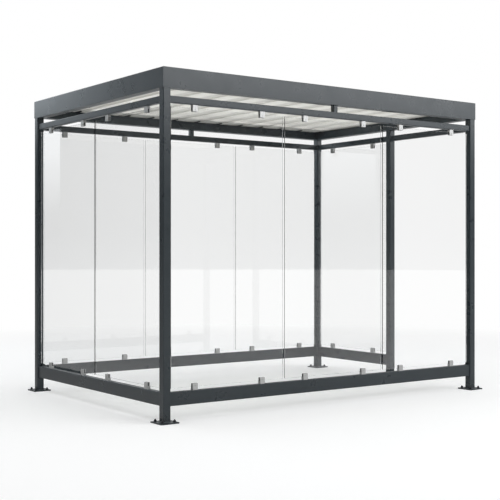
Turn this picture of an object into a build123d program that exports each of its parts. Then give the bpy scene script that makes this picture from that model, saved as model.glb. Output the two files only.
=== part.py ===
from build123d import *
import os
from math import floor

os.makedirs("parts", exist_ok=True)

# All sizes are in millimetres. X runs along the long side, Y from front to back, Z up.
# The origin is on the floor, under the middle of the frame.

# The frame, measured over the corner posts, and its clear openings
frame_length = 3200.0
frame_depth = 2185.0
clear_height = 2380.0
doorway_width = 962.0

# Posts and base plates
post_size = 60.0
post_wall = 3.0
plate_size = 150.0
plate_thickness = 10.0
anchor_hole_radius = 7.0
anchor_hole_inset = 25.0

# Rails between the posts
rail_depth = 40.0
rail_wall = 3.0
lower_rail_bottom = 118.0
lower_rail_height = 100.0
upper_rail_height = 50.0
ventilation_gap = 54.0
spacer_size = 40.0

# Gusset cleats in the corners of posts and lower rails
cleat_length = 25.0
cleat_height = 28.0
cleat_thickness = 6.0
cleat_offset = 8.0

# Roof edge
beam_size = 75.0
beam_wall = 3.0
fascia_height = 147.0
fascia_thickness = 3.0
fascia_return = 30.0
fascia_bend_radius = 3.0

# Trapezoidal roof sheet
sheet_thickness = 1.0
sheet_clearance = 2.0
rib_pitch = 250.0
rib_base = 58.0
rib_height = 20.0
rib_side_angle = 55.0
first_rib = 125.0

# Glass, its clamps and their rubber liners
glass_thickness = 8.0
glass_edge_bevel = 1.0
glass_to_rail = 23.0
glass_to_post = 18.0
glass_joint = 18.0
clamp_inset = 200.0
clamp_width = 45.0
clamp_depth = 28.0
clamp_height = 48.0
clamp_edge_bevel = 1.5
gasket_wall = 2.5
gasket_floor = 3.0

# Levels that follow from these
lower_rail_top = lower_rail_bottom + lower_rail_height
upper_rail_top = clear_height - ventilation_gap
upper_rail_bottom = upper_rail_top - upper_rail_height
beam_top = clear_height + beam_size
fascia_top = clear_height + fascia_height
glass_bottom = lower_rail_top + glass_to_rail
glass_top = upper_rail_bottom - glass_to_rail

# Places of the posts' middles, and the faces that the rails butt against
post_x = (frame_length - post_size) / 2
post_y = (frame_depth - post_size) / 2
inner_x = post_x - post_size / 2
inner_y = post_y - post_size / 2
door_post_y = -inner_y + doorway_width + post_size / 2
door_post_back = door_post_y + post_size / 2


def save(piece, name):
    """Label a finished piece and write it."""
    piece.part.label = name
    export_step(piece.part, f"parts/{name}.step")


def tube_section(width, height, wall):
    """Draw a hollow section with rolled outer corners in the open sketch."""
    RectangleRounded(width, height, 1.5 * wall)
    Rectangle(width - 2 * wall, height - 2 * wall, mode=Mode.SUBTRACT)


class ShelterSide:
    """One side of the shelter, in its own plane: x along the side, y inwards, z up."""

    def __init__(self, turn, length, half_depth, bay, panes):
        self.plane = Plane.XY.rotated((0, 0, turn))
        self.length = length
        self.face = -half_depth
        self.middle = -half_depth + post_size / 2
        self.low, self.high = bay
        self.panes = panes

    def section(self, along):
        """A plane across the side, at a place along it: x inwards, y up."""
        return Plane(self.plane.from_local_coords((along, 0, 0)), self.plane.y_dir, self.plane.x_dir)

    def upright(self, inwards):
        """A plane parallel to the side, at a depth from the frame's middle: x along it, y up."""
        return Plane(self.plane.from_local_coords((0, inwards, 0)), self.plane.x_dir, -self.plane.y_dir)

    def level(self, height):
        """A level plane at a height: x along the side, y inwards."""
        return self.plane.offset(height)


# Each side's glazed bay runs from post face to post face; the right one stops at the door post
sides = {
    "front": ShelterSide(0, frame_length, frame_depth / 2, (-inner_x, inner_x), 3),
    "right": ShelterSide(90, frame_depth, frame_length / 2, (door_post_back, inner_y), 1),
    "back": ShelterSide(180, frame_length, frame_depth / 2, (-inner_x, inner_x), 3),
    "left": ShelterSide(270, frame_depth, frame_length / 2, (-inner_y, inner_y), 2),
}

# Posts
post_places = {
    "post_front_left": (-post_x, -post_y),
    "post_front_right": (post_x, -post_y),
    "post_back_left": (-post_x, post_y),
    "post_back_right": (post_x, post_y),
    "door_post": (post_x, door_post_y),
}
for name, place in post_places.items():
    with BuildPart() as post:
        with BuildSketch(Plane.XY.offset(plate_thickness)):
            with Locations(place):
                tube_section(post_size, post_size, post_wall)
        extrude(amount=clear_height - plate_thickness)
    save(post, name)

# Base plates, each with four anchor holes
hole_spacing = plate_size - 2 * anchor_hole_inset
for name, place in post_places.items():
    with BuildPart() as base_plate:
        with BuildSketch():
            with Locations(place):
                Rectangle(plate_size, plate_size)
                with GridLocations(hole_spacing, hole_spacing, 2, 2):
                    Circle(anchor_hole_radius, mode=Mode.SUBTRACT)
        extrude(amount=plate_thickness)
    save(base_plate, name.replace("post", "base_plate"))

# Lower and upper rails, butted between the posts
rail_levels = {
    "lower_rail": (lower_rail_bottom, lower_rail_height),
    "upper_rail": (upper_rail_bottom, upper_rail_height),
}
for side_name, side in sides.items():
    for rail_name, (bottom, height) in rail_levels.items():
        with BuildPart() as rail:
            with BuildSketch(side.section(side.low)):
                with Locations((side.middle, bottom + height / 2)):
                    tube_section(rail_depth, height, rail_wall)
            extrude(amount=side.high - side.low)
        save(rail, f"{rail_name}_{side_name}")

# Header over the doorway, in line with the upper rails
with BuildPart() as door_header:
    with BuildSketch(sides["right"].section(-inner_y)):
        with Locations((sides["right"].middle, upper_rail_bottom + upper_rail_height / 2)):
            tube_section(rail_depth, upper_rail_height, rail_wall)
    extrude(amount=doorway_width)
save(door_header, "door_header")

# Spacers at the middle of the long sides, between the upper rail and the ring beam
for side_name in ("front", "back"):
    side = sides[side_name]
    with BuildPart() as roof_spacer:
        with BuildSketch(side.level(upper_rail_top)):
            with Locations((0, side.middle)):
                tube_section(spacer_size, spacer_size, rail_wall)
        extrude(amount=ventilation_gap)
    save(roof_spacer, f"roof_spacer_{side_name}")

# Gusset cleats, standing on the lower rails against the posts, inside the glass
with BuildPart() as rail_cleats:
    for side in sides.values():
        with BuildSketch(side.upright(side.middle + cleat_offset + cleat_thickness)):
            for corner, direction in ((side.low, 1), (side.high, -1)):
                Polygon(
                    (corner, lower_rail_top),
                    (corner + direction * cleat_length, lower_rail_top),
                    (corner, lower_rail_top + cleat_height),
                    align=None,
                )
        extrude(amount=cleat_thickness)
save(rail_cleats, "rail_cleats")

# Ring beam on the posts: the long beams run through and the short ones fit between them
for side_name, side in sides.items():
    runs_through = side_name in ("front", "back")
    beam_length = side.length if runs_through else side.length - 2 * beam_size
    with BuildPart() as roof_beam:
        with BuildSketch(side.section(-beam_length / 2)):
            with Locations((side.face + beam_size / 2, clear_height + beam_size / 2)):
                tube_section(beam_size, beam_size, beam_wall)
        extrude(amount=beam_length)
    save(roof_beam, f"roof_beam_{side_name}")

# Fascia sheets around the ring beam, with a return at the top, mitred at the corners
for side_name, side in sides.items():
    reach = side.length / 2 + fascia_thickness
    with BuildPart() as fascia:
        with BuildSketch(side.section(-reach)):
            with BuildLine():
                FilletPolyline(
                    (side.face - fascia_thickness, clear_height),
                    (side.face - fascia_thickness, fascia_top),
                    (side.face + fascia_return, fascia_top),
                    radius=fascia_bend_radius + fascia_thickness,
                )
                offset(amount=fascia_thickness, side=Side.RIGHT)
            make_face()
        extrude(amount=2 * reach)
        for end in (-1, 1):
            corner = side.plane.from_local_coords((end * side.length / 2, side.face, 0))
            mitre = Plane(corner, z_dir=end * side.plane.x_dir + side.plane.y_dir)
            split(bisect_by=mitre, keep=Keep.BOTTOM)
    save(fascia, f"fascia_{side_name}")

# Roof sheet lying on the ring beam, with ribs that run from front to back
sheet_length = frame_length - 2 * sheet_clearance
sheet_depth = frame_depth - 2 * sheet_clearance
last_rib_limit = frame_length - sheet_clearance - rib_base / 2
rib_count = floor((last_rib_limit - first_rib) / rib_pitch) + 1
rib_places = [(-frame_length / 2 + first_rib + i * rib_pitch, beam_top) for i in range(rib_count)]
on_beam = (Align.CENTER, Align.MIN)
inner_rib_base = rib_base - 2 * sheet_thickness
with BuildPart() as roof_sheet:
    with BuildSketch(Plane.XZ.offset(-sheet_depth / 2)):
        with Locations((0, beam_top)):
            Rectangle(sheet_length, sheet_thickness, align=on_beam)
        with Locations(*rib_places):
            Trapezoid(rib_base, rib_height, rib_side_angle, align=on_beam)
            Trapezoid(inner_rib_base, rib_height - sheet_thickness, rib_side_angle, align=on_beam, mode=Mode.SUBTRACT)
    extrude(amount=sheet_depth)
save(roof_sheet, "roof_sheet")


def pane_layout(side):
    """The width of a side's equal panes, and the places of their middles."""
    clear = side.high - side.low - 2 * glass_to_post - (side.panes - 1) * glass_joint
    width = clear / side.panes
    first = side.low + glass_to_post + width / 2
    return width, [first + i * (width + glass_joint) for i in range(side.panes)]


def clamp_spots(side):
    """Where the clamps stand along a side: two for each pane, set in from its edges."""
    width, middles = pane_layout(side)
    return [(middle + end * (width / 2 - clamp_inset), side.middle) for middle in middles for end in (-1, 1)]


# Glass panes
for side_name, side in sides.items():
    pane_width, pane_middles = pane_layout(side)
    for i, middle in enumerate(pane_middles):
        with BuildPart() as glass:
            with BuildSketch(side.level(glass_bottom)):
                with Locations((middle, side.middle)):
                    Rectangle(pane_width, glass_thickness)
            extrude(amount=glass_top - glass_bottom)
            chamfer(glass.edges(), glass_edge_bevel)
        save(glass, f"glass_{side_name}_{i + 1}")

# Clamps: slotted blocks that stand on the lower rails and hang under the upper ones
slot_width = glass_thickness + 2 * gasket_wall
slot_floor = glass_to_rail - gasket_floor
clamp_bases = ((lower_rail_top, 1), (upper_rail_bottom, -1))
for side_name, side in sides.items():
    with BuildPart() as glass_clamps:
        for base, upwards in clamp_bases:
            with BuildSketch(side.level(base)):
                with Locations(*clamp_spots(side)):
                    Rectangle(clamp_width, clamp_depth)
            extrude(amount=upwards * clamp_height)
        exposed_edges = glass_clamps.edges().filter_by_position(
            Axis.Z, lower_rail_top, upper_rail_bottom, inclusive=(False, False)
        )
        chamfer(exposed_edges, clamp_edge_bevel)
        for base, upwards in clamp_bases:
            with BuildSketch(side.level(base + upwards * slot_floor)):
                with Locations(*clamp_spots(side)):
                    Rectangle(clamp_width, slot_width)
            extrude(amount=upwards * (clamp_height - slot_floor), mode=Mode.SUBTRACT)
    save(glass_clamps, f"glass_clamps_{side_name}")

# Rubber liners: they line each slot and hold the pane's edge
with BuildPart() as glazing_gaskets:
    for side in sides.values():
        for base, upwards in clamp_bases:
            with BuildSketch(side.level(base + upwards * slot_floor)):
                with Locations(*clamp_spots(side)):
                    Rectangle(clamp_width, slot_width)
            extrude(amount=upwards * (clamp_height - slot_floor))
            with BuildSketch(side.level(base + upwards * glass_to_rail)):
                with Locations(*clamp_spots(side)):
                    Rectangle(clamp_width, glass_thickness)
            extrude(amount=upwards * (clamp_height - glass_to_rail), mode=Mode.SUBTRACT)
save(glazing_gaskets, "glazing_gaskets")
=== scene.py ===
import math
import random

import bpy
from mathutils import Matrix, Vector


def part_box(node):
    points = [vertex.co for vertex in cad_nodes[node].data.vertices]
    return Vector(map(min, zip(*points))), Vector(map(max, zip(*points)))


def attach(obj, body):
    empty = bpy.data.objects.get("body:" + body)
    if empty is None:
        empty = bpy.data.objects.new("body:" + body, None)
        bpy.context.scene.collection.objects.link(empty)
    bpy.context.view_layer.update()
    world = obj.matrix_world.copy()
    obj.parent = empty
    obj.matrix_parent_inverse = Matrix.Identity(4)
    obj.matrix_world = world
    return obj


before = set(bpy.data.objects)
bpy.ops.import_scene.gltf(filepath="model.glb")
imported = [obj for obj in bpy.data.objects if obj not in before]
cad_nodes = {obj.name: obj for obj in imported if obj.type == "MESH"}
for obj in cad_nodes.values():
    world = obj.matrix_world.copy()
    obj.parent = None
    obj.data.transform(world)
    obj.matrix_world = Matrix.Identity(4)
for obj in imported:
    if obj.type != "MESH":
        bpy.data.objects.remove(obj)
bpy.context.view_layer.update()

# Sizes in metres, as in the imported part
anchor_hole_inset = 0.025
clamp_inset = 0.200
clamp_depth = 0.028
rib_pitch = 0.250
first_rib = 0.125
rib_base = 0.058
rib_height = 0.020
rib_side_angle = math.radians(55)
sheet_thickness = 0.001
sheet_clearance = 0.002

# Sizes of the small pieces that this script adds
clamp_screw_from_rail = 0.034
roof_screw_inset = 0.036
roof_screw_from_rib = 0.052
roof_screw_edge_gap = 0.020
end_screw_count = 5
end_screw_spacing = 0.42
closure_past_beam = 0.040
closure_end_gap = 0.001
closure_slack = 0.0005

# Levels and sizes of the stage
floor_half_size = 60.0
floor_grey = 0.80
floor_lift = 0.28
floor_glow = 0.08
open_floor_from = 4.0
open_floor_full = 8.0
mirrored_floor = 0.42
surrounding_light = 0.50
screen_distance = 58.0
screen_height = 13.5
screen_foot_level = 0.22
screen_level = 0.10
screen_fade_height = 2.5
skyline = ((125, 32, 24.0),)
pale_gaps = ((114.8, 3.5), (129.6, 3.5))
pale_gap_half_width = 1.7
pale_gap_level = 0.85
pale_gap_fade_height = 4.0

# Sockets of a colour mix node
mix_share, mix_first, mix_second, mix_result = 0, 6, 7, 2


def rib_places():
    """The middles of the roof sheet's ribs."""
    low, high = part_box("roof_sheet")
    count = int((high.x - low.x - first_rib) / rib_pitch) + 1
    return [low.x - sheet_clearance + first_rib + i * rib_pitch for i in range(count)]


# Mesh building

class Shape:
    """Points and faces that are gathered before they become one mesh."""

    def __init__(self):
        self.points = []
        self.faces = []

    def add_rings(self, rings, place, ring_loop=False):
        """Join rings of points by quads, with caps at both ends unless the rings close on themselves."""
        start = len(self.points)
        count = len(rings[0])
        for ring in rings:
            self.points += [place @ Vector(point) for point in ring]
        rows = len(rings) if ring_loop else len(rings) - 1
        for row in range(rows):
            low = start + row * count
            high = start + (row + 1) % len(rings) * count
            for i in range(count):
                j = (i + 1) % count
                self.faces.append((low + i, low + j, high + j, high + i))
        if not ring_loop:
            self.faces.append(tuple(range(start + count - 1, start - 1, -1)))
            last = start + (len(rings) - 1) * count
            self.faces.append(tuple(range(last, last + count)))

    def piece(self, name, material, smooth_angle=35):
        """Make the mesh object, in the row frame, riding on the frame."""
        mesh = bpy.data.meshes.new(name)
        mesh.from_pydata(self.points, [], self.faces)
        mesh.validate()
        mesh.materials.append(material)
        obj = bpy.data.objects.new(name, mesh)
        bpy.context.scene.collection.objects.link(obj)
        mesh.shade_smooth()
        mesh.set_sharp_from_angle(angle=math.radians(smooth_angle))
        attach(obj, "root")
        return obj


def circle(radius, height, count=32):
    """A level ring of points."""
    turn = 2 * math.pi / count
    return [(radius * math.cos(i * turn), radius * math.sin(i * turn), height) for i in range(count)]


def hexagon(across_flats, limit, height, count=48):
    """A level ring that follows a hexagon, cut off where it leaves a circle of the limit's radius."""
    ring = []
    for i in range(count):
        angle = 2 * math.pi * i / count
        from_flat = (angle + math.pi / 6) % (math.pi / 3) - math.pi / 6
        radius = min(across_flats / 2 / math.cos(from_flat), limit)
        ring.append((radius * math.cos(angle), radius * math.sin(angle), height))
    return ring


def turned(profile, count=32):
    """Rings of a turned form from its radius and height pairs."""
    return [circle(radius, height, count) for radius, height in profile]


def hex_head(across_flats, height, base=0.0, chamfered_foot=True):
    """Rings of a hexagon nut or head, with its corners chamfered."""
    corner = across_flats / 2 / math.cos(math.pi / 6)
    edge = across_flats * 0.475
    drop = height * 0.16
    steps = ((0.0, edge), (0.35, edge + 0.45 * (corner - edge)), (1.0, corner))
    rings = []
    if chamfered_foot:
        rings += [hexagon(across_flats, limit, base + drop * share) for share, limit in steps]
    else:
        rings.append(hexagon(across_flats, corner, base))
    rings += [hexagon(across_flats, limit, base + height - drop * share) for share, limit in reversed(steps)]
    return rings


def threaded_stud(radius, pitch, bottom, top, depth, count=24):
    """Rings of a stud's threaded end: a fine grid that follows the helix, with a chamfered tip."""
    step = pitch / 4
    rows = int((top - bottom) / step)
    rings = [circle(radius - depth, bottom, count)]
    for row in range(1, rows):
        height = bottom + row * step
        ring = []
        for i in range(count):
            phase = (height / pitch - i / count) % 1
            ridge = 1 - abs(2 * phase - 1)
            near_tip = min(1, (top - height) / (1.5 * pitch))
            reach = (radius - depth * (1 - ridge)) * (0.82 + 0.18 * near_tip)
            angle = 2 * math.pi * i / count
            ring.append((reach * math.cos(angle), reach * math.sin(angle), height))
        rings.append(ring)
    rings.append(circle(radius * 0.78, top, count))
    return rings


def weld_bead(shape, start, end, along_a, along_b, leg, wobble):
    """A fillet weld between two faces that leave the seam along two directions."""
    start, end, along_a, along_b = (Vector(v) for v in (start, end, along_a, along_b))
    seam = end - start
    ripple = 0.0013
    steps = max(8, round(seam.length / ripple))
    rings = []
    for i in range(steps + 1):
        place = start + seam * (i / steps)
        from_end = min(i, steps - i) * seam.length / steps
        size = leg * min(1, 0.45 + from_end / leg * 0.4)
        size *= 1.0 + (0.05 if i % 2 else -0.05) + wobble.uniform(-0.03, 0.03)
        ring = [place - (along_a + along_b) * 0.0004]
        for k in range(5):
            angle = math.pi / 8 * k
            share_a, share_b = math.sin(angle), math.cos(angle)
            reach = size / (share_a + share_b) * (1 + 0.22 * math.sin(2 * angle))
            ring.append(place + (along_a * share_a + along_b * share_b) * reach)
        rings.append(ring)
    shape.add_rings(rings, Matrix.Identity(4))


# Materials

def new_material(name):
    """A material with its node tree's parts at hand."""
    material = bpy.data.materials.new(name)
    material.use_nodes = True
    tree = material.node_tree
    return material, tree, tree.nodes["Principled BSDF"]


def add_node(tree, kind, **settings):
    """A node, with its properties and its inputs' values set by name."""
    node = tree.nodes.new(kind)
    for name, value in settings.items():
        if hasattr(node, name):
            setattr(node, name, value)
        else:
            node.inputs[name.replace("_", " ")].default_value = value
    return node


def noise(tree, scale, detail=4.0, roughness=0.55, stretch=None):
    """A noise over the object's own coordinates, in features per metre, stretched along the axes if asked."""
    coordinates = add_node(tree, "ShaderNodeTexCoord")
    node = add_node(tree, "ShaderNodeTexNoise", Scale=scale, Detail=detail, Roughness=roughness)
    if stretch:
        mapping = add_node(tree, "ShaderNodeMapping", Scale=stretch)
        tree.links.new(coordinates.outputs["Object"], mapping.inputs["Vector"])
        tree.links.new(mapping.outputs["Vector"], node.inputs["Vector"])
    else:
        tree.links.new(coordinates.outputs["Object"], node.inputs["Vector"])
    return node.outputs["Fac"]


def spread(tree, value, low, high, start=0.3, end=0.7):
    """A value turned into the range from low to high."""
    node = add_node(tree, "ShaderNodeMapRange", From_Min=start, From_Max=end, To_Min=low, To_Max=high)
    tree.links.new(value, node.inputs["Value"])
    return node.outputs["Result"]


def tinted(tree, value, dark, light):
    """A colour between two colours, by a value."""
    node = add_node(tree, "ShaderNodeMix", data_type="RGBA")
    tree.links.new(value, node.inputs[mix_share])
    node.inputs[mix_first].default_value = (*dark, 1)
    node.inputs[mix_second].default_value = (*light, 1)
    return node.outputs[mix_result]


def bump(tree, height, strength, distance, below=None):
    """A bump from a height, laid over another one if given."""
    node = add_node(tree, "ShaderNodeBump", Strength=strength, Distance=distance)
    tree.links.new(height, node.inputs["Height"])
    if below:
        tree.links.new(below, node.inputs["Normal"])
    return node.outputs["Normal"]


def powder_coating(name, dark, light, roughness):
    """Satin powder coating: a fine orange-peel grain, faint cloudiness in tone and gloss."""
    material, tree, shader = new_material(name)
    shader.inputs["Specular IOR Level"].default_value = 0.5
    clouds = noise(tree, 2.2, detail=3)
    speckle = noise(tree, 420, detail=2)
    tone = add_node(tree, "ShaderNodeMath", operation="ADD")
    tree.links.new(spread(tree, clouds, 0, 0.7), tone.inputs[0])
    tree.links.new(spread(tree, speckle, 0, 0.3), tone.inputs[1])
    tree.links.new(tinted(tree, tone.outputs["Value"], dark, light), shader.inputs["Base Color"])
    gloss = noise(tree, 9, detail=5)
    tree.links.new(spread(tree, gloss, roughness - 0.03, roughness + 0.04), shader.inputs["Roughness"])
    peel = bump(tree, noise(tree, 650, detail=3), 0.35, 0.00012)
    waves = bump(tree, noise(tree, 45, detail=2), 0.12, 0.0006, below=peel)
    tree.links.new(waves, shader.inputs["Normal"])
    return material


def painted_underside_shade(tree):
    """Painted shade: soft darker bands beside the ribs on faces that look down, darkest just beside each
    rib's hollow and a little darker across the hollow. A painted tone, not a shape.
    """
    place = add_node(tree, "ShaderNodeSeparateXYZ")
    tree.links.new(add_node(tree, "ShaderNodeTexCoord").outputs["Object"], place.inputs["Vector"])
    phase = add_node(tree, "ShaderNodeMath", operation="WRAP")
    tree.links.new(place.outputs["X"], phase.inputs[0])
    pitch_end = rib_places()[0] + rib_pitch / 2
    pitch_start = rib_places()[0] - rib_pitch / 2
    phase.inputs[1].default_value = pitch_end
    phase.inputs[2].default_value = pitch_start
    ramp = add_node(tree, "ShaderNodeValToRGB")
    across = spread(tree, phase.outputs["Value"], 0, 1, pitch_start, pitch_end)
    tree.links.new(across, ramp.inputs["Fac"])
    # Painted shade: the dark band beside each rib, and a slight darkening over the rib's hollow.
    band = ((-0.112, 1.0), (-0.075, 0.76), (-0.030, 0.74))
    rib = ((-0.027, 0.92), (0.027, 0.92), (0.030, 1.0))
    stops = band + rib
    while len(ramp.color_ramp.elements) < len(stops):
        ramp.color_ramp.elements.new(0.5)
    for element, (from_rib, level) in zip(ramp.color_ramp.elements, stops):
        element.position = 0.5 + from_rib / rib_pitch
        element.color = (level, level, level, 1)
    # The painted shade goes only on faces that look down.
    facing_down = add_node(tree, "ShaderNodeSeparateXYZ")
    normal = add_node(tree, "ShaderNodeNewGeometry").outputs["True Normal"]
    tree.links.new(normal, facing_down.inputs["Vector"])
    share = spread(tree, facing_down.outputs["Z"], 1, 0, start=-0.3, end=0.0)
    bands = add_node(tree, "ShaderNodeMix", data_type="RGBA")
    tree.links.new(share, bands.inputs[mix_share])
    bands.inputs[mix_first].default_value = (1, 1, 1, 1)
    tree.links.new(ramp.outputs["Color"], bands.inputs[mix_second])
    return bands.outputs[mix_result]


def coil_coating(name):
    """Grey-white coil coating of the roof sheet, with faint rolling marks along the ribs, and painted shade
    bands beside the ribs where it looks down.
    """
    material, tree, shader = new_material(name)
    clouds = noise(tree, 1.6, detail=4)
    marks = noise(tree, 60, detail=4, stretch=(3.0, 0.06, 3.0))
    tone = add_node(tree, "ShaderNodeMath", operation="ADD")
    tree.links.new(spread(tree, clouds, 0, 0.6), tone.inputs[0])
    tree.links.new(spread(tree, marks, 0, 0.4), tone.inputs[1])
    colour = tinted(tree, tone.outputs["Value"], (0.75, 0.73, 0.685), (0.83, 0.81, 0.765))
    # Painted shade: the underside's darker bands multiply the coating's colour.
    with_painted_shade = add_node(tree, "ShaderNodeMix", data_type="RGBA", blend_type="MULTIPLY")
    with_painted_shade.inputs[mix_share].default_value = 1.0
    tree.links.new(colour, with_painted_shade.inputs[mix_first])
    tree.links.new(painted_underside_shade(tree), with_painted_shade.inputs[mix_second])
    tree.links.new(with_painted_shade.outputs[mix_result], shader.inputs["Base Color"])
    tree.links.new(spread(tree, marks, 0.38, 0.50), shader.inputs["Roughness"])
    grain = bump(tree, noise(tree, 900, detail=2), 0.25, 0.00008)
    tree.links.new(bump(tree, marks, 0.15, 0.0003, below=grain), shader.inputs["Normal"])
    return material


def clear_glass(name):
    """Toughened glass: clear, with the faint roller waves of the oven. Lamps shine through it."""
    material, tree, shader = new_material(name)
    shader.inputs["Base Color"].default_value = (0.985, 0.988, 0.987, 1)
    shader.inputs["Transmission Weight"].default_value = 1.0
    shader.inputs["IOR"].default_value = 1.5
    haze = noise(tree, 6, detail=3)
    tree.links.new(spread(tree, haze, 0.0, 0.02), shader.inputs["Roughness"])
    waves = noise(tree, 3.0, detail=1, stretch=(0.5, 0.5, 3.0))
    tree.links.new(bump(tree, waves, 0.05, 0.0004), shader.inputs["Normal"])
    rays = add_node(tree, "ShaderNodeLightPath")
    passing = add_node(tree, "ShaderNodeMath", operation="MAXIMUM")
    tree.links.new(rays.outputs["Is Shadow Ray"], passing.inputs[0])
    tree.links.new(rays.outputs["Is Diffuse Ray"], passing.inputs[1])
    open_way = add_node(tree, "ShaderNodeBsdfTransparent")
    open_way.inputs["Color"].default_value = (0.88, 0.89, 0.885, 1)
    mix = add_node(tree, "ShaderNodeMixShader")
    tree.links.new(passing.outputs["Value"], mix.inputs["Fac"])
    tree.links.new(shader.outputs["BSDF"], mix.inputs[1])
    tree.links.new(open_way.outputs["BSDF"], mix.inputs[2])
    tree.links.new(mix.outputs["Shader"], tree.nodes["Material Output"].inputs["Surface"])
    return material


def satin_steel(name):
    """Ground and satined clamp metal, with fine level scratches."""
    material, tree, shader = new_material(name)
    shader.inputs["Metallic"].default_value = 1.0
    scratches = noise(tree, 90, detail=5, stretch=(1.0, 1.0, 28.0))
    colour = tinted(tree, scratches, (0.42, 0.42, 0.415), (0.54, 0.54, 0.535))
    tree.links.new(colour, shader.inputs["Base Color"])
    tree.links.new(spread(tree, scratches, 0.46, 0.58), shader.inputs["Roughness"])
    tree.links.new(bump(tree, scratches, 0.25, 0.00008), shader.inputs["Normal"])
    return material


def black_rubber(name):
    """Extruded rubber: matt black with a fine skin."""
    material, tree, shader = new_material(name)
    skin = noise(tree, 500, detail=4)
    colour = tinted(tree, skin, (0.010, 0.010, 0.011), (0.026, 0.026, 0.028))
    tree.links.new(colour, shader.inputs["Base Color"])
    tree.links.new(spread(tree, skin, 0.55, 0.75), shader.inputs["Roughness"])
    tree.links.new(bump(tree, skin, 0.3, 0.0001), shader.inputs["Normal"])
    return material


def blackened_steel(name):
    """Black-finished anchor hardware, slightly rubbed."""
    material, tree, shader = new_material(name)
    shader.inputs["Metallic"].default_value = 0.7
    rub = noise(tree, 160, detail=6)
    colour = tinted(tree, rub, (0.012, 0.013, 0.015), (0.060, 0.062, 0.066))
    tree.links.new(colour, shader.inputs["Base Color"])
    tree.links.new(spread(tree, rub, 0.30, 0.50), shader.inputs["Roughness"])
    tree.links.new(bump(tree, rub, 0.2, 0.0001), shader.inputs["Normal"])
    return material


coating = powder_coating("anthracite_powder_coating", (0.015, 0.023, 0.028), (0.022, 0.031, 0.037), 0.29)
sheet_coating = coil_coating("grey_white_coil_coating")
glass = clear_glass("clear_toughened_glass")
steel = satin_steel("satin_clamp_steel")
rubber = black_rubber("black_rubber")
black_steel = blackened_steel("black_anchor_steel")

finishes = {
    "roof_sheet": sheet_coating,
    "glazing_gaskets": rubber,
    "glass_clamps": steel,
    "glass": glass,
}


def finish_of(node_name):
    """The material of a CAD node, by the start of its name."""
    for start, material in finishes.items():
        if node_name.startswith(start):
            return material
    return coating


for node_name, obj in cad_nodes.items():
    for material_slot in obj.material_slots:
        material_slot.material = finish_of(node_name)
    obj.data.shade_smooth()
    obj.data.set_sharp_from_angle(angle=math.radians(25))


# Pieces

def middle(box):
    """The middle of a box."""
    return (box[0] + box[1]) / 2


def anchor_places():
    """The anchor holes' middles, at the top of the base plates."""
    for name in sorted(cad_nodes):
        if "base_plate" in name:
            low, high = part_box(name)
            for x in (low.x + anchor_hole_inset, high.x - anchor_hole_inset):
                for y in (low.y + anchor_hole_inset, high.y - anchor_hole_inset):
                    yield Vector((x, y, high.z))


def build_anchors():
    """Anchor bolts of 12 mm thread in the base plates, each with a washer and a nut."""
    turn = random.Random(11)
    bolts = Shape()
    washers = Shape()
    washer_foot = [(0.0066, 0.0), (0.0117, 0.0), (0.0120, 0.0003)]
    washer_top = [(0.0120, 0.0021), (0.0117, 0.0024), (0.0066, 0.0024)]
    for place in anchor_places():
        at = Matrix.Translation(place) @ Matrix.Rotation(turn.uniform(0, math.pi), 4, "Z")
        washers.add_rings(turned(washer_foot + washer_top), at, ring_loop=True)
        bolts.add_rings(hex_head(0.0185, 0.0100, base=0.0024), at)
        bolts.add_rings(threaded_stud(0.0060, 0.00175, 0.0115, 0.0190, 0.0009), at)
        bolts.add_rings(turned([(0.0056, -0.0095), (0.0058, 0.0030)], 24), at)
    bolts.piece("anchor_nuts_and_studs", black_steel)
    washers.piece("anchor_washers", black_steel)


def build_post_welds():
    """Fillet welds round the posts' feet."""
    wobble = random.Random(23)
    beads = Shape()
    for name in sorted(cad_nodes):
        if name.startswith("post_") or name == "door_post":
            low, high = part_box(name)
            level = low.z
            corners = [(low.x, low.y), (high.x, low.y), (high.x, high.y), (low.x, high.y)]
            outward = [(0, -1), (1, 0), (0, 1), (-1, 0)]
            for i, (x, y) in enumerate(outward):
                start = (*corners[i], level)
                end = (*corners[(i + 1) % 4], level)
                weld_bead(beads, start, end, (x, y, 0), (0, 0, 1), 0.0045, wobble)
    beads.piece("post_foot_welds", coating)


def build_rail_welds():
    """Fillet welds round the rails' ends, against the posts."""
    wobble = random.Random(31)
    beads = Shape()
    for name in sorted(cad_nodes):
        if "rail_" in name and "cleats" not in name or name == "door_header":
            low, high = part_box(name)
            long_axis = 0 if high.x - low.x > high.y - low.y else 1
            cross = 1 - long_axis
            for end, inwards in ((low, 1), (high, -1)):
                away = [0, 0, 0]
                away[long_axis] = inwards
                near, far = low[cross], high[cross]
                outline = [(near, low.z), (far, low.z), (far, high.z), (near, high.z)]
                faces = [(0, -1), (1, 0), (0, 1), (-1, 0)]
                for i, (sideways, upwards) in enumerate(faces):
                    points = []
                    for across, height in (outline[i], outline[(i + 1) % 4]):
                        point = [0, 0, height]
                        point[long_axis] = end[long_axis]
                        point[cross] = across
                        points.append(point)
                    out = [0, 0, upwards]
                    out[cross] = sideways
                    weld_bead(beads, *points, away, out, 0.0028, wobble)
    beads.piece("rail_end_welds", coating)


def clamp_places():
    """The side and the middle of each pair of clamp jaws, where their screws sit."""
    for name in sorted(cad_nodes):
        if name.startswith("glass_") and "clamps" not in name:
            low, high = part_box(name)
            side = name.split("_")[1]
            along = 0 if side in ("front", "back") else 1
            rail_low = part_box(f"lower_rail_{side}")[1].z
            rail_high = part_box(f"upper_rail_{side}")[0].z
            for place in (low[along] + clamp_inset, high[along] - clamp_inset):
                for height in (rail_low + clamp_screw_from_rail, rail_high - clamp_screw_from_rail):
                    point = Vector(middle((low, high)))
                    point[along] = place
                    point.z = height
                    yield side, point


outward_ways = {"front": (0, -1, 0), "back": (0, 1, 0), "left": (-1, 0, 0), "right": (1, 0, 0)}


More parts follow.
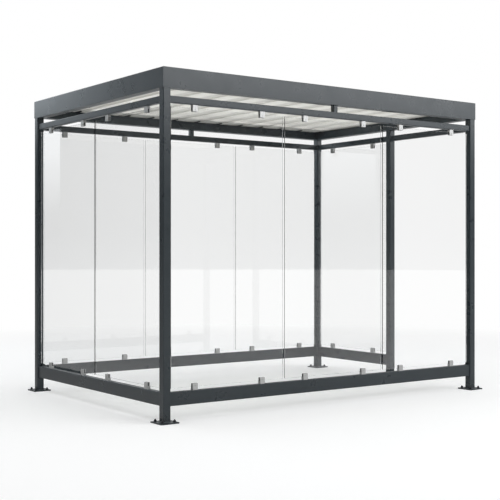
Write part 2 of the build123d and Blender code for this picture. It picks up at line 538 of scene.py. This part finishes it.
def build_clamp_screws():
    """Socket button-head screws in the clamps' outer jaws."""
    screws = Shape()
    sockets = Shape()
    dome = [(0.0050, -0.0005), (0.0050, 0.0006), (0.0046, 0.0016), (0.0036, 0.0024)]
    recess = [(0.0024, 0.0027), (0.0021, 0.0026), (0.0020, 0.0006)]
    socket = [hexagon(0.0038, 0.003, height, 24) for height in (0.0004, 0.0009)]
    for side, point in clamp_places():
        out = Vector(outward_ways[side])
        turn = out.to_track_quat("Z", "Y").to_matrix().to_4x4()
        at = Matrix.Translation(point + out * clamp_depth / 2) @ turn
        screws.add_rings(turned(dome + recess, 24), at)
        sockets.add_rings(socket, at)
    screws.piece("clamp_screws", steel)
    sockets.piece("clamp_screw_sockets", black_steel)


def roof_screw_places():
    """Where the roof sheet is screwed to the ring beam, in its flat pans."""
    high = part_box("roof_sheet")[1]
    edge_x = high.x - roof_screw_inset
    edge_y = high.y - roof_screw_inset
    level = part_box("roof_beam_front")[1].z + sheet_thickness
    for rib in rib_places():
        x = rib + roof_screw_from_rib
        if x < edge_x - roof_screw_edge_gap:
            yield Vector((x, -edge_y, level))
            yield Vector((x, edge_y, level))
    for i in range(end_screw_count):
        y = (i - (end_screw_count - 1) / 2) * end_screw_spacing
        yield Vector((-edge_x, y, level))
        yield Vector((edge_x, y, level))


def build_roof_screws():
    """Self-drilling hexagon screws with sealing washers on the roof sheet."""
    turn = random.Random(47)
    heads = Shape()
    seals = Shape()
    seal_section = [(0.0070, 0.0), (0.0078, 0.0004), (0.0078, 0.0014), (0.0070, 0.0020)]
    washer_section = [(0.0080, 0.0016), (0.0080, 0.0022), (0.0045, 0.0030), (0.0045, 0.0034)]
    for place in roof_screw_places():
        at = Matrix.Translation(place) @ Matrix.Rotation(turn.uniform(0, math.pi), 4, "Z")
        seals.add_rings(turned(seal_section, 24), at)
        heads.add_rings(turned(washer_section, 24), at)
        heads.add_rings(hex_head(0.0080, 0.0048, base=0.0030, chamfered_foot=False), at)
    heads.piece("roof_screws", steel)
    seals.piece("roof_screw_seals", rubber)


def build_rib_end_shade_closures():
    """Dark foam closures that fill the hollow ribs of the roof sheet over the front and back beams. Such
    fillers are real, and their black also stands in for painted shade in the rib ends.
    """
    beam_low, beam_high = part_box("roof_beam_back")
    foot = rib_base / 2 - sheet_thickness - closure_slack / math.sin(rib_side_angle)
    top = rib_height - sheet_thickness - closure_slack
    shoulder = foot - top / math.tan(rib_side_angle)
    level = beam_high.z + closure_slack
    crown = beam_high.z + top
    near = beam_low.y - closure_past_beam
    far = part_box("roof_sheet")[1].y - closure_end_gap
    closures = Shape()
    for x in rib_places():
        section = [(x + foot, level), (x - foot, level), (x - shoulder, crown), (x + shoulder, crown)]
        for ends in ((near, far), (-far, -near)):
            rings = [[(across, y, height) for across, height in section] for y in ends]
            closures.add_rings(rings, Matrix.Identity(4))
    # Black closures, partly painted shade in the rib ends.
    closures.piece("rib_end_shade_closures", rubber)


build_anchors()
build_post_welds()
build_rail_welds()
build_clamp_screws()
build_roof_screws()
build_rib_end_shade_closures()


# Stage: floor, studio surroundings, lamps and camera

def seen_directly(tree):
    """One for rays from the camera, from a mirror-like surface or through glass, and zero for the rest."""
    rays = add_node(tree, "ShaderNodeLightPath")
    total = rays.outputs["Is Camera Ray"]
    for name in ("Is Glossy Ray", "Is Transmission Ray"):
        node = add_node(tree, "ShaderNodeMath", operation="MAXIMUM")
        tree.links.new(total, node.inputs[0])
        tree.links.new(rays.outputs[name], node.inputs[1])
        total = node.outputs["Value"]
    return total


def build_floor():
    """A plain pale floor. Seen directly it is white where it lies open, and it keeps the shadows.

    Reflections see it darker towards the back, as the photograph's do.
    """
    half = floor_half_size
    corners = [(-half, -half, 0), (half, -half, 0), (half, half, 0), (-half, half, 0)]
    mesh = bpy.data.meshes.new("floor")
    mesh.from_pydata(corners, [], [(0, 1, 2, 3)])
    floor = bpy.data.objects.new("floor", mesh)
    bpy.context.scene.collection.objects.link(floor)

    material, tree, shader = new_material("pale_floor")
    tree.nodes.remove(shader)
    rays = add_node(tree, "ShaderNodeLightPath")
    place = add_node(tree, "ShaderNodeTexCoord").outputs["Object"]
    parts = add_node(tree, "ShaderNodeSeparateXYZ")
    tree.links.new(place, parts.inputs["Vector"])
    seen = seen_directly(tree)
    matt = add_node(tree, "ShaderNodeBsdfDiffuse", Color=(floor_grey, floor_grey, floor_grey, 1))
    lift = add_node(tree, "ShaderNodeEmission", Color=(1, 1, 1, 1))
    tree.links.new(spread(tree, seen, floor_glow, floor_lift, start=0, end=1), lift.inputs["Strength"])
    near = add_node(tree, "ShaderNodeAddShader")
    tree.links.new(matt.outputs["BSDF"], near.inputs[0])
    tree.links.new(lift.outputs["Emission"], near.inputs[1])

    distance = add_node(tree, "ShaderNodeVectorMath", operation="LENGTH")
    tree.links.new(place, distance.inputs[0])
    far = spread(tree, distance.outputs["Value"], 0, 1, start=open_floor_from, end=open_floor_full)
    share = add_node(tree, "ShaderNodeMath", operation="MULTIPLY")
    tree.links.new(far, share.inputs[0])
    tree.links.new(seen, share.inputs[1])
    white = add_node(tree, "ShaderNodeEmission", Color=(1, 1, 1, 1), Strength=1.0)
    open_floor = add_node(tree, "ShaderNodeMixShader")
    tree.links.new(share.outputs["Value"], open_floor.inputs["Fac"])
    tree.links.new(near.outputs["Shader"], open_floor.inputs[1])
    tree.links.new(white.outputs["Emission"], open_floor.inputs[2])

    grey = add_node(tree, "ShaderNodeEmission", Color=(1, 1, 1, 1), Strength=mirrored_floor)
    behind = spread(tree, parts.outputs["Y"], 0.06, 0.95, start=-3.0, end=3.0)
    greyed = add_node(tree, "ShaderNodeMath", operation="MULTIPLY", use_clamp=True)
    tree.links.new(behind, greyed.inputs[0])
    tree.links.new(rays.outputs["Glossy Depth"], greyed.inputs[1])
    mix = add_node(tree, "ShaderNodeMixShader")
    tree.links.new(greyed.outputs["Value"], mix.inputs["Fac"])
    tree.links.new(open_floor.outputs["Shader"], mix.inputs[1])
    tree.links.new(grey.outputs["Emission"], mix.inputs[2])
    tree.links.new(mix.outputs["Shader"], tree.nodes["Material Output"].inputs["Surface"])
    floor.data.materials.append(material)


def build_world():
    """White surroundings where they are seen, and a plain level of light from all round."""
    world = bpy.data.worlds.new("studio")
    bpy.context.scene.world = world
    world.use_nodes = True
    tree = world.node_tree
    background = tree.nodes["Background"]
    background.inputs["Color"].default_value = (1, 1, 1, 1)
    level = spread(tree, seen_directly(tree), surrounding_light, 1.0, start=0, end=1)
    tree.links.new(level, background.inputs["Strength"])


def build_screen():
    """A dark ring round the studio, higher at the back left, with two pale gaps.

    Reflections and bounced light meet it. The camera sees past it, also through glass.
    """
    count = 720
    points = circle(screen_distance, -0.5, count)
    for x, y, _ in circle(screen_distance, 0, count):
        height = screen_height
        for azimuth, width, rise in skyline:
            turn = (math.degrees(math.atan2(y, x)) - azimuth + 180) % 360 - 180
            height += rise * math.exp(-(turn / width) ** 2)
        points.append((x, y, height))
    faces = [(i, (i + 1) % count, count + (i + 1) % count, count + i) for i in range(count)]
    mesh = bpy.data.meshes.new("studio_screen")
    mesh.from_pydata(points, [], faces)
    screen = bpy.data.objects.new("studio_screen", mesh)
    bpy.context.scene.collection.objects.link(screen)
    material, tree, shader = new_material("grey_screen")
    tree.nodes.remove(shader)
    glow = add_node(tree, "ShaderNodeEmission", Color=(0.92, 0.96, 1.0, 1))
    place = add_node(tree, "ShaderNodeTexCoord")
    parts = add_node(tree, "ShaderNodeSeparateXYZ")
    tree.links.new(place.outputs["Object"], parts.inputs["Vector"])
    height = parts.outputs["Z"]
    level = spread(tree, height, screen_foot_level, screen_level, start=0.0, end=screen_fade_height)
    azimuth = add_node(tree, "ShaderNodeMath", operation="ARCTAN2")
    tree.links.new(parts.outputs["Y"], azimuth.inputs[0])
    tree.links.new(parts.outputs["X"], azimuth.inputs[1])
    for degrees, low in pale_gaps:
        from_gap = add_node(tree, "ShaderNodeMath", operation="COMPARE")
        tree.links.new(azimuth.outputs["Value"], from_gap.inputs[0])
        from_gap.inputs[1].default_value = math.radians(degrees)
        from_gap.inputs[2].default_value = math.radians(pale_gap_half_width)
        rise = spread(tree, height, 0, pale_gap_level, start=low, end=low + pale_gap_fade_height)
        share = add_node(tree, "ShaderNodeMath", operation="MULTIPLY_ADD")
        tree.links.new(from_gap.outputs["Value"], share.inputs[0])
        tree.links.new(rise, share.inputs[1])
        tree.links.new(level, share.inputs[2])
        level = share.outputs["Value"]
    tree.links.new(level, glow.inputs["Strength"])
    rays = add_node(tree, "ShaderNodeLightPath")
    met = add_node(tree, "ShaderNodeMath", operation="ADD", use_clamp=True)
    tree.links.new(rays.outputs["Glossy Depth"], met.inputs[0])
    tree.links.new(rays.outputs["Diffuse Depth"], met.inputs[1])
    gap = add_node(tree, "ShaderNodeBsdfTransparent")
    mix = add_node(tree, "ShaderNodeMixShader")
    tree.links.new(met.outputs["Value"], mix.inputs["Fac"])
    tree.links.new(gap.outputs["BSDF"], mix.inputs[1])
    tree.links.new(glow.outputs["Emission"], mix.inputs[2])
    tree.links.new(mix.outputs["Shader"], tree.nodes["Material Output"].inputs["Surface"])
    mesh.materials.append(material)


def add_softbox(name, middle_at, target, size, radiance, colour=(1, 1, 1)):
    """A rectangular area lamp of an even radiance that faces a target."""
    lamp = bpy.data.lights.new(name, "AREA")
    lamp.shape = "RECTANGLE"
    lamp.size, lamp.size_y = size
    lamp.energy = radiance * math.pi * size[0] * size[1]
    lamp.color = colour
    obj = bpy.data.objects.new(name, lamp)
    bpy.context.scene.collection.objects.link(obj)
    obj.location = middle_at
    obj.rotation_euler = (Vector(target) - Vector(middle_at)).to_track_quat("-Z", "Y").to_euler()
    obj.visible_camera = False
    obj.visible_transmission = False
    return obj


def add_camera():
    """The photograph's level camera, solved from its edges."""
    data = bpy.data.cameras.new("camera")
    data.lens = 75.14
    data.sensor_width = 36.0
    data.clip_end = 500.0
    camera = bpy.data.objects.new("camera", data)
    bpy.context.scene.collection.objects.link(camera)
    camera.location = (-5.3972, -7.4289, 1.2264)
    camera.rotation_euler = (math.radians(90.0137), 0, math.radians(-35.675))
    bpy.context.scene.camera = camera


build_floor()
build_world()
build_screen()
add_softbox("top_softbox", (-1.0, -0.3, 7.0), (-1.0, -0.3, 0), (8.0, 8.0), 1.12)
add_softbox("front_softbox", (6.5, -8.0, 5.0), (6.5, 0, 2.9), (12.0, 3.0), 4.4, (0.96, 0.98, 1.0))
add_softbox("left_softbox", (-2.9, 7.5, 4.4), (-1.6, 1.0, 2.4), (3.6, 2.4), 3.8, (0.86, 0.94, 1.0))
underside_panel = add_softbox("underside_panel", (2.5, 10.5, 0.02), (2.5, 10.5, 5.0), (9.0, 8.0), 60.0)
underside_panel.visible_glossy = False
add_camera()

bpy.context.scene.view_settings.view_transform = "Standard"
